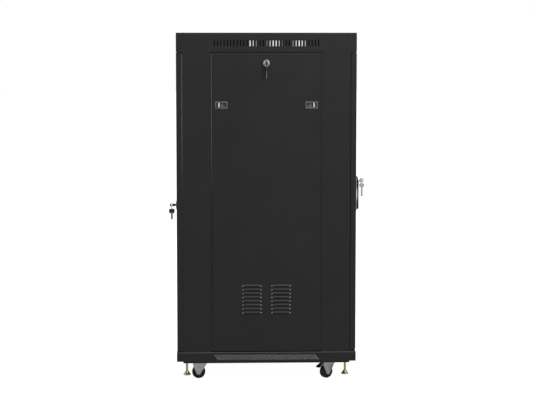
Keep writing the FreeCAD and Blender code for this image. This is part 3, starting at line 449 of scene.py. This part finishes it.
def bristle():
    """Black nylon bristles, a little uneven in tone."""
    made = Finish("bristle_nylon").set(Metallic=0.0, Specular_IOR_Level=0.4)
    strand = made.noise(900, 1, 0.5, made.scaled_place(1, 0.1, 1))
    made.drive("Base Color", made.mix(strand, 0.008, 0.030))
    made.drive("Roughness", made.spread(strand, 0.3, 0.7, 0.4, 0.6))
    return made.material


def white_print():
    """Screen-printed numbers: thin white ink, worn in places."""
    made = Finish("white_print").set(Metallic=0.0, Specular_IOR_Level=0.3)
    wear = made.spread(made.noise(700, 3, 0.7), 0.55, 0.75, 0, 1)
    made.drive("Base Color", made.mix(wear, 0.62, 0.30))
    made.drive("Roughness", made.spread(wear, 0, 1, 0.5, 0.7))
    return made.material


def paint(node, material):
    """Puts a finish on every material slot of a CAD node."""
    for place in frame["nodes"][node].material_slots:
        place.material = material


def finish_frame():
    """Each CAD node gets the finish of its slot; keys, feet and latches are two-toned by place."""
    foot_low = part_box("levelling_foot_front_left")[0].z
    latch_low, latch_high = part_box("side_latch_rear_left")
    lock_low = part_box("side_lock_left")[0].z - 10 * MM
    pedal_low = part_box("caster_brake_front_left")[0]
    by_slot = {
        "powder_coat": powder_coat().material,
        "frame_coat": frame_coat(),
        "zinc_plate": zinc_plate(),
        "foot_plate": foot_plate(foot_low + 8.5 * MM),
        "wheel_nylon": wheel_nylon(),
        "brake_steel": brake_steel(pedal_low.z + 6 * MM),
        "fan_plastic": moulded("fan_plastic_black", (0.012,) * 3, (0.018,) * 3, 0.4, 0.55).material,
        "guard_wire": guard_wire(),
        "latch_grey": latch_grey(lock_low),
        "latch_slider": latch_slider(GRIP_NEAR, SCREW_SPOT, (latch_low.z + latch_high.z) / 2),
        "lock_chrome": chrome(),
        "key_plastic": None,
        "key_metal": key_metal(),
        "handle_black": handle_black(),
        "tinted_glass": tinted_glass(),
    }
    for part in frame["record"]["subparts"]:
        material = by_slot[part["material_slot"]]
        if material is not None:
            paint(part["node"], material)
    head_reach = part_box("side_key_right")[1].x - 18 * MM
    side_key = key_finish("key_side", lambda f: f.above(f.distance_from("X"), head_reach))
    rear_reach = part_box("rear_key")[1].y - 19 * MM
    rear_key = key_finish("key_rear", lambda f: f.above(f.axis("Y"), rear_reach))
    bow_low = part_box("side_spare_key_left")[1].z - 26 * MM
    side_spare = key_finish("key_side_spare", lambda f: f.above(f.axis("Z"), bow_low))
    bow_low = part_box("rear_spare_key")[1].z - 26 * MM
    rear_spare = key_finish("key_rear_spare", lambda f: f.above(f.axis("Z"), bow_low))
    louvred = panel_coat()
    for side in SIDES:
        paint(f"side_panel_{side}", louvred)
        paint(f"side_key_{side}", side_key)
        paint(f"side_spare_key_{side}", side_spare)
    paint("caster_plates", caster_plate(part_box("caster_plates")[1].z - 3.2 * MM))
    paint("rear_key", rear_key)
    paint("rear_spare_key", rear_spare)


# ---------------------------------------------------------------- pieces

def piece(name, vertices, faces, body, material, smooth=True):
    """A mesh piece in the row frame that rides on a body."""
    mesh = bpy.data.meshes.new(name)
    mesh.from_pydata([tuple(v) for v in vertices], [], faces)
    shape = bmesh.new()
    shape.from_mesh(mesh)
    bmesh.ops.recalc_face_normals(shape, faces=shape.faces)
    shape.to_mesh(mesh)
    shape.free()
    for face in mesh.polygons:
        face.use_smooth = smooth
    made = bpy.data.objects.new(name, mesh)
    bpy.context.scene.collection.objects.link(made)
    mesh.materials.append(material)
    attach(made, body)
    return made


def rounded_rectangle(low, high, radius, steps=6):
    """Points round a rectangle in the XZ plane, each with its outward direction."""
    points = []
    corners = ((high[0], high[1], 0), (low[0], high[1], 90), (low[0], low[1], 180), (high[0], low[1], 270))
    for x, z, start in corners:
        middle_x = x - math.copysign(radius, x - (low[0] + high[0]) / 2)
        middle_z = z - math.copysign(radius, z - (low[1] + high[1]) / 2)
        for step in range(steps + 1):
            turn = math.radians(start + 90 * step / steps)
            out = (math.cos(turn), math.sin(turn))
            points.append(((middle_x + radius * out[0], middle_z + radius * out[1]), out))
    return points


def swept_loop(name, low, high, radius, y, profile, body, material):
    """A closed strip round a rectangle; profile is a closed outline of (outward, along Y) points."""
    path = rounded_rectangle(low, high, radius)
    vertices = [
        (x + out[0] * reach, y + rise, z + out[1] * reach)
        for (x, z), out in path
        for reach, rise in profile
    ]
    count = len(profile)
    total = len(path) * count
    faces = []
    for ring in range(len(path)):
        for k in range(count):
            after = (k + 1) % count
            here = ring * count
            there = (ring + 1) * count % total
            faces.append((here + k, here + after, there + after, there + k))
    return piece(name, vertices, faces, body, material)


def half_round(wide, high, steps=8):
    """A D-shaped outline: flat against the panel, bulging by high in -Y or +Y."""
    outline = []
    for step in range(steps + 1):
        turn = math.pi * step / steps
        outline.append((wide / 2 * math.cos(turn), high * math.sin(turn)))
    return outline


def add_seals():
    """Glazing bead round the glass, and the foam strips that the doors close on."""
    glass_low, glass_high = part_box("front_door_glass")
    bead_in = 4 * MM
    low = (glass_low.x + bead_in, glass_low.z + bead_in)
    high = (glass_high.x - bead_in, glass_high.z - bead_in)
    bead = half_round(5 * MM, -1.0 * MM)
    black = rubber()
    swept_loop("glazing_bead", low, high, 5 * MM, glass_low.y, bead, "front_door", black)
    strip = foam()
    inset_x = 42 * MM
    inset_z = 11 * MM
    for end, node, body in (("front", "front_door_frame", "front_door"), ("rear", "rear_door", "rear_door")):
        door_low, door_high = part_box(node)
        inner_y = door_high.y if end == "front" else door_low.y
        bulge = 1.4 * MM if end == "front" else -1.4 * MM
        low = (door_low.x + inset_x, door_low.z + inset_z)
        high = (door_high.x - inset_x, door_high.z - inset_z)
        name = f"door_seal_{end}"
        swept_loop(name, low, high, 6 * MM, inner_y, half_round(9 * MM, bulge), body, strip)


def add_unit_numbers():
    """The unit numbers printed up the front rails."""
    ink = white_print()
    for side in SIDES:
        low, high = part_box(f"mounting_rail_front_{side}")
        first = (low.z + high.z) / 2 - UNITS * UNIT_PITCH / 2
        outer = low.x if side == "left" else high.x
        middle_x = outer + math.copysign(10 * MM, -outer)
        joined = bmesh.new()
        for number in range(1, UNITS + 1):
            text = bpy.data.curves.new("number", "FONT")
            text.body = str(number)
            text.size = 9 * MM
            text.align_x = "CENTER"
            text.align_y = "CENTER"
            text.extrude = 0.03 * MM
            holder = bpy.data.objects.new("number", text)
            mesh = bpy.data.meshes.new_from_object(holder)
            middle_z = first + (number - 0.5) * UNIT_PITCH
            spot = Matrix.Translation((middle_x, low.y - 0.06 * MM, middle_z))
            mesh.transform(spot @ Matrix.Rotation(math.pi / 2, 4, "X"))
            joined.from_mesh(mesh)
            bpy.data.objects.remove(holder)
            bpy.data.curves.remove(text)
            bpy.data.meshes.remove(mesh)
        vertices = [v.co.copy() for v in joined.verts]
        faces = [[v.index for v in f.verts] for f in joined.faces]
        joined.free()
        piece(f"unit_numbers_{side}", vertices, faces, "cabinet", ink, smooth=False)


def slab(name, outline, low, high, body, material, soften=0.6 * MM):
    """A flat plate: an outline in X and Y, from low to high in Z, with softened rims."""
    count = len(outline)
    vertices = [(x, y, z) for z in (low, high) for x, y in outline]
    faces = [tuple(range(count)), tuple(range(2 * count - 1, count - 1, -1))]
    for k in range(count):
        after = (k + 1) % count
        faces.append((k, after, count + after, count + k))
    made = piece(name, vertices, faces, body, material, smooth=False)
    rim = made.modifiers.new("rim", "BEVEL")
    rim.width = soften
    rim.segments = 2
    return made


def rectangle(across, along):
    """The outline of a rectangle from its spans in X and in Y."""
    return ((across[0], along[0]), (across[1], along[0]), (across[1], along[1]), (across[0], along[1]))


def add_door_lips():
    """Rubber lips over the tops of the doors and, on the cabinet, under them; clear of the hinge pins."""
    black = rubber()
    cover_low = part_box("top_cover")[0].z
    skirt_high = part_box("base_skirt")[1].z
    clear = 0.5 * MM
    for end, node, sign in (("front", "front_door_frame", -1), ("rear", "rear_door", 1)):
        low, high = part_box(node)
        across = (low.x + 4 * MM, high.x - 16 * MM)
        top = rectangle(across, (low.y + 1 * MM, high.y - 1 * MM))
        slab(f"door_lip_top_{end}", top, high.z, cover_low - clear, f"{end}_door", black)
        post_side = sign * (POST_FACE + clear)
        outside = sign * (DOOR_FACE - 1 * MM)
        sill = rectangle(across, sorted((post_side, outside)))
        bottom = skirt_high - 6 * MM
        slab(f"door_lip_sill_{end}", sill, bottom, low.z - clear, "cabinet", black)


def add_panel_lips():
    """Rubber lips behind the side panels' lower and upper edges, between the posts."""
    black = rubber()
    skirt_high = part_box("base_skirt")[1].z
    cover_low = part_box("top_cover")[0].z
    spans = {
        "sill": (skirt_high - 6 * MM, skirt_high + 11 * MM),
        "head": (cover_low - 6 * MM, cover_low - 0.4 * MM),
    }
    for side, way in zip(SIDES, (-1, 1)):
        across = sorted((way * (PANEL_BACK - 3.8 * MM), way * (PANEL_BACK - 0.4 * MM)))
        outline = rectangle(across, (-PANEL_HALF - 3 * MM, PANEL_HALF + 3 * MM))
        for place, (bottom, top) in spans.items():
            slab(f"panel_lip_{place}_{side}", outline, bottom, top, "cabinet", black)


def seam_foam(name, pale_above):
    """Foam strip in a seam, pale with painted light where the light reaches it, uneven in tone, and black
    with shade elsewhere.
    """
    made = Finish(name).set(Metallic=0.0, Roughness=0.95)
    # Painted light: the strip is pale above pale_above, where the seam catches a reflection; the noise only
    # makes it uneven.
    lit = made.spread(made.axis("Z"), pale_above - 120 * MM, pale_above + 120 * MM, 0, 1)
    dust_and_painted_light = made.maths("MULTIPLY", lit, made.spread(made.noise(60, 3), 0.3, 0.7, 0.75, 1.0))
    made.drive("Base Color", made.mix(dust_and_painted_light, (0.012, 0.012, 0.012), (0.22, 0.18, 0.165)))
    made.relief(made.noise(900, 2), 0.4, 0.2 * MM)
    return made.material


def add_seam_foam():
    """Thin foam strips in the seams at the posts, beside the side panels and the rear door."""
    # The door and rear seams get the strip with painted light in its upper part.
    painted_lit_foam = seam_foam("seam_foam_dusty", 720 * MM)
    black = rubber()
    half = 0.6 * MM
    door_seam = POST_FACE + 0.9 * MM
    panel_seam = PANEL_HALF + 0.5 * MM
    seams = (("door", door_seam, painted_lit_foam), ("rear", panel_seam, painted_lit_foam), ("front", -panel_seam, black))
    for side, way in zip(SIDES, (-1, 1)):
        low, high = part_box(f"side_panel_{side}")
        across = sorted((way * (PANEL_BACK + 10 * MM), way * (PANEL_BACK + 12.6 * MM)))
        for place, seam, strip in seams:
            outline = rectangle(across, (seam - half, seam + half))
            bottom, top = low.z + 14 * MM, high.z - 3 * MM
            slab(f"seam_foam_{place}_{side}", outline, bottom, top, "cabinet", strip, 0.2 * MM)


def bristle_row(span, root, tip, z, spacing, generator):
    """Vertices and faces of one row of bristles: along X over span, from Y root to Y tip."""
    vertices = []
    faces = []
    thick = 0.22 * MM
    low, high = span
    for k in range(int((high - low) / spacing)):
        x = low + (k + 0.5) * spacing
        lean = generator.uniform(-2.5, 2.5) * MM
        drop = generator.uniform(-0.5, 0.3) * MM
        reach = tip + generator.uniform(-1.5, 1.5) * MM
        start = len(vertices)
        for at_x, at_y, at_z, wide in ((x, root, z, thick), (x + lean, reach, z + drop, thick * 0.6)):
            vertices.append((at_x - wide, at_y, at_z - wide))
            vertices.append((at_x + wide, at_y, at_z - wide))
            vertices.append((at_x, at_y, at_z + wide))
        for a, b in ((0, 1), (1, 2), (2, 0)):
            faces.append((start + a, start + b, start + 3 + b, start + 3 + a))
        faces.append((start + 2, start + 1, start))
        faces.append((start + 3, start + 4, start + 5))
    return vertices, faces


def add_brush(name, low, high, z, spacing=0.8 * MM):
    """A brush strip across an opening from low to high in X and Y: two carriers and their bristles."""
    generator = np.random.default_rng(7)
    middle = (low[1] + high[1]) / 2
    carrier = 5 * MM
    black = moulded(f"{name}_carrier", (0.010,) * 3, (0.015,) * 3, 0.4, 0.55).material
    for label, edge, inner in (("near", low[1], low[1] + carrier), ("far", high[1], high[1] - carrier)):
        outline = rectangle((low[0], high[0]), sorted((edge, inner)))
        slab(f"{name}_carrier_{label}", outline, z - 3 * MM, z - 0.2 * MM, "cabinet", black)
    vertices = []
    faces = []
    for layer in range(3):
        height = z - (0.8 + 0.7 * layer) * MM
        for root, over in ((low[1] + carrier - 1 * MM, 2 * MM), (high[1] - carrier + 1 * MM, -2 * MM)):
            row, row_faces = bristle_row((low[0], high[0]), root, middle + over, height, spacing, generator)
            faces += [tuple(len(vertices) + i for i in face) for face in row_faces]
            vertices += row
    piece(f"{name}_bristles", vertices, faces, "cabinet", bristle(), smooth=False)


def filter_felt():
    """Pale filter felt of matted fibres."""
    made = Finish("filter_felt").set(Metallic=0.0, Roughness=0.95, Specular_IOR_Level=0.1)
    fibres = made.maths("ADD", made.noise(420, 4, 0.7), made.maths("MULTIPLY", made.noise(60, 3), 0.5))
    made.drive("Base Color", made.mix(made.spread(fibres, 0.4, 1.1, 0, 1), 0.52, 0.64))
    made.relief(fibres, 0.6, 0.4 * MM)
    return made.material


def add_dust_filters():
    """A felt dust filter behind each side grille of the base skirt."""
    low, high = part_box("base_skirt")
    felt = filter_felt()
    for side, way in zip(SIDES, (-1, 1)):
        across = sorted((way * (high.x - 3.9 * MM), way * (high.x - 1.9 * MM)))
        outline = rectangle(across, (-FILTER_HALF, FILTER_HALF))
        slab(f"dust_filter_{side}", outline, low.z + 1 * MM, high.z - 7 * MM, "cabinet", felt)


def add_roof_brush():
    """The brush in the roof's cable entry, whose box the record gives."""
    for opening in frame["record"]["physics"]["openings"]:
        if opening["name"] == "roof_cable_entry":
            low, high = opening["box_m"]
    margin = 4 * MM
    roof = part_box("top_cover")[1].z
    low = (low[0] - margin, low[1] - margin)
    high = (high[0] + margin, high[1] + margin)
    add_brush("roof_brush", low, high, roof - 1.6 * MM)


def blade_section(radius, root, tip, chord, camber, thick, steps):
    """One closed blade section at a radius: points (round the axle, along it), cambered and twisted."""
    share = (radius - root) / (tip - root)
    pitch = math.radians(48 - 18 * share)
    length = chord * (0.8 + 0.35 * share)
    upper = []
    lower = []
    for k in range(steps + 1):
        along = k / steps
        bend = camber * length * 4 * along * (1 - along)
        half = thick * math.sqrt(max(along * (1 - along), 0)) + 0.15 * MM
        for side, points in ((half, upper), (-half, lower)):
            u = (along - 0.5) * length
            v = bend + side
            turned = (u * math.cos(pitch) - v * math.sin(pitch), u * math.sin(pitch) + v * math.cos(pitch))
            points.append(turned)
    return upper + lower[::-1]


def skin(rows, ring, first):
    """Faces over rows of ring vertices each, numbered from first, with both ends closed."""
    faces = []
    for row in range(rows - 1):
        here = first + row * ring
        for k in range(ring):
            after = (k + 1) % ring
            faces.append((here + k, here + after, here + ring + after, here + ring + k))
    last = first + (rows - 1) * ring
    faces.append(tuple(first + k for k in range(ring)))
    faces.append(tuple(last + k for k in reversed(range(ring))))
    return faces


def hub_profile(hub, low, shoulder, high, steps=6):
    """Points (radius, Z) up the hub: straight to its shoulder, then a quarter round to its top."""
    corner = 6 * MM
    profile = [(hub, low), (hub, shoulder)]
    for step in range(1, steps + 1):
        turn = math.radians(90 * step / steps)
        profile.append((hub - corner * (1 - math.cos(turn)), shoulder + (high - shoulder) * math.sin(turn)))
    return profile


def add_fan_blades():
    """Seven cambered, swept blades on a domed hub, in place of the plain impeller."""
    low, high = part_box("fan_impeller")
    housing_low, housing_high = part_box("fan_housing")
    middle = (housing_low + housing_high) / 2
    centre_z = (low.z + high.z) / 2
    hub, tip = 20 * MM, 53 * MM
    root = hub * 0.93
    chord, camber, thick = 27 * MM, 0.07, 1.6 * MM
    swept = 16
    half_high = 11.5 * MM
    blades, sections, steps, turns = 7, 9, 8, 48
    vertices = []
    faces = []
    for blade in range(blades):
        faces += skin(sections, 2 * (steps + 1), len(vertices))
        for section in range(sections):
            share = section / (sections - 1)
            radius = root + (tip - root) * share
            sweep = math.radians(360 * blade / blades + swept * share ** 1.5)
            for around, along in blade_section(radius, hub, tip, chord, camber, thick, steps):
                turn = sweep + around / radius
                x = middle.x + radius * math.cos(turn)
                y = middle.y + radius * math.sin(turn)
                vertices.append((x, y, centre_z + max(-half_high, min(half_high, along))))
    profile = hub_profile(hub, low.z, centre_z + 6 * MM, high.z)
    faces += skin(len(profile), turns, len(vertices))
    for radius, z in profile:
        for k in range(turns):
            turn = 2 * math.pi * k / turns
            vertices.append((middle.x + radius * math.cos(turn), middle.y + radius * math.sin(turn), z))
    plastic = moulded("fan_blade_plastic", (0.012,) * 3, (0.018,) * 3, 0.3, 0.45).material
    made = piece("fan_rotor", vertices, faces, "fan", plastic)
    split = made.modifiers.new("crease", "EDGE_SPLIT")
    split.split_angle = math.radians(40)
    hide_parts("fan_impeller")


# ---------------------------------------------------------------- floor, light and camera

def add_floor():
    """A wide pale floor, shown white to the camera and dim to everything else."""
    bpy.ops.mesh.primitive_plane_add(size=60)
    floor = bpy.context.object
    floor.name = "floor"
    made = Finish("pale_floor").set(Roughness=0.9, Specular_IOR_Level=0.1)
    made.drive("Base Color", made.mix(made.noise(3, 4), 0.24, 0.26))
    made.set(Emission_Color=(1, 1, 1, 1))
    path = made.tree.nodes.new("ShaderNodeLightPath")
    made.drive("Emission Strength", made.spread(path.outputs["Is Camera Ray"], 0, 1, 0.12, 0.98))
    floor.data.materials.append(made.material)


def add_lights():
    """A white surround for the camera, soft grey light from all round, and a broad sun and lamp."""
    world = bpy.data.worlds.new("studio")
    bpy.context.scene.world = world
    world.use_nodes = True
    tree = world.node_tree
    tree.nodes.clear()
    output = tree.nodes.new("ShaderNodeOutputWorld")
    choose = tree.nodes.new("ShaderNodeMixShader")
    path = tree.nodes.new("ShaderNodeLightPath")
    soft = tree.nodes.new("ShaderNodeBackground")
    soft.inputs["Color"].default_value = (1, 1, 1, 1)
    soft.inputs["Strength"].default_value = 0.5
    white = tree.nodes.new("ShaderNodeBackground")
    white.inputs["Color"].default_value = (1, 1, 1, 1)
    white.inputs["Strength"].default_value = 1.0
    tree.links.new(path.outputs["Is Camera Ray"], choose.inputs["Fac"])
    tree.links.new(soft.outputs[0], choose.inputs[1])
    tree.links.new(white.outputs[0], choose.inputs[2])
    tree.links.new(choose.outputs[0], output.inputs["Surface"])
    sun = bpy.data.lights.new("overhead", "SUN")
    sun.energy = 2.0
    sun.angle = math.radians(50)
    lamp = bpy.data.objects.new("overhead", sun)
    lamp.rotation_euler = (math.radians(4), math.radians(-24), 0)
    bpy.context.scene.collection.objects.link(lamp)
    soft_box("upper_front", Vector((-2.4, -1.2, 2.6)), Vector((-0.3, 0, 0.95)), 1.6, 42)


def soft_box(name, spot, target, size, power):
    """A square area lamp at spot that faces target."""
    light = bpy.data.lights.new(name, "AREA")
    light.shape = "SQUARE"
    light.size = size
    light.energy = power
    lamp = bpy.data.objects.new(name, light)
    lamp.location = spot
    lamp.rotation_euler = (target - spot).to_track_quat("-Z", "Y").to_euler()
    bpy.context.scene.collection.objects.link(lamp)


def add_camera():
    """The camera that faces the cabinet's left side."""
    data = bpy.data.cameras.new("camera")
    data.sensor_width = SENSOR_WIDE
    data.lens = CAMERA_LENS
    data.shift_y = CAMERA_RISE
    data.clip_end = 100
    camera = bpy.data.objects.new("camera", data)
    pan = math.radians(CAMERA_PAN)
    tilt = math.radians(CAMERA_TILT)
    forward = Vector((math.cos(pan) * math.cos(tilt), -math.sin(pan) * math.cos(tilt), -math.sin(tilt)))
    camera.location = CAMERA_PLACE
    camera.rotation_euler = forward.to_track_quat("-Z", "Y").to_euler()
    bpy.context.scene.collection.objects.link(camera)
    bpy.context.scene.camera = camera


bpy.context.scene.view_settings.view_transform = "Standard"
finish_frame()
add_seals()
add_unit_numbers()
add_door_lips()
add_panel_lips()
add_seam_foam()
add_dust_filters()
add_roof_brush()
add_fan_blades()
add_floor()
add_lights()
add_camera()
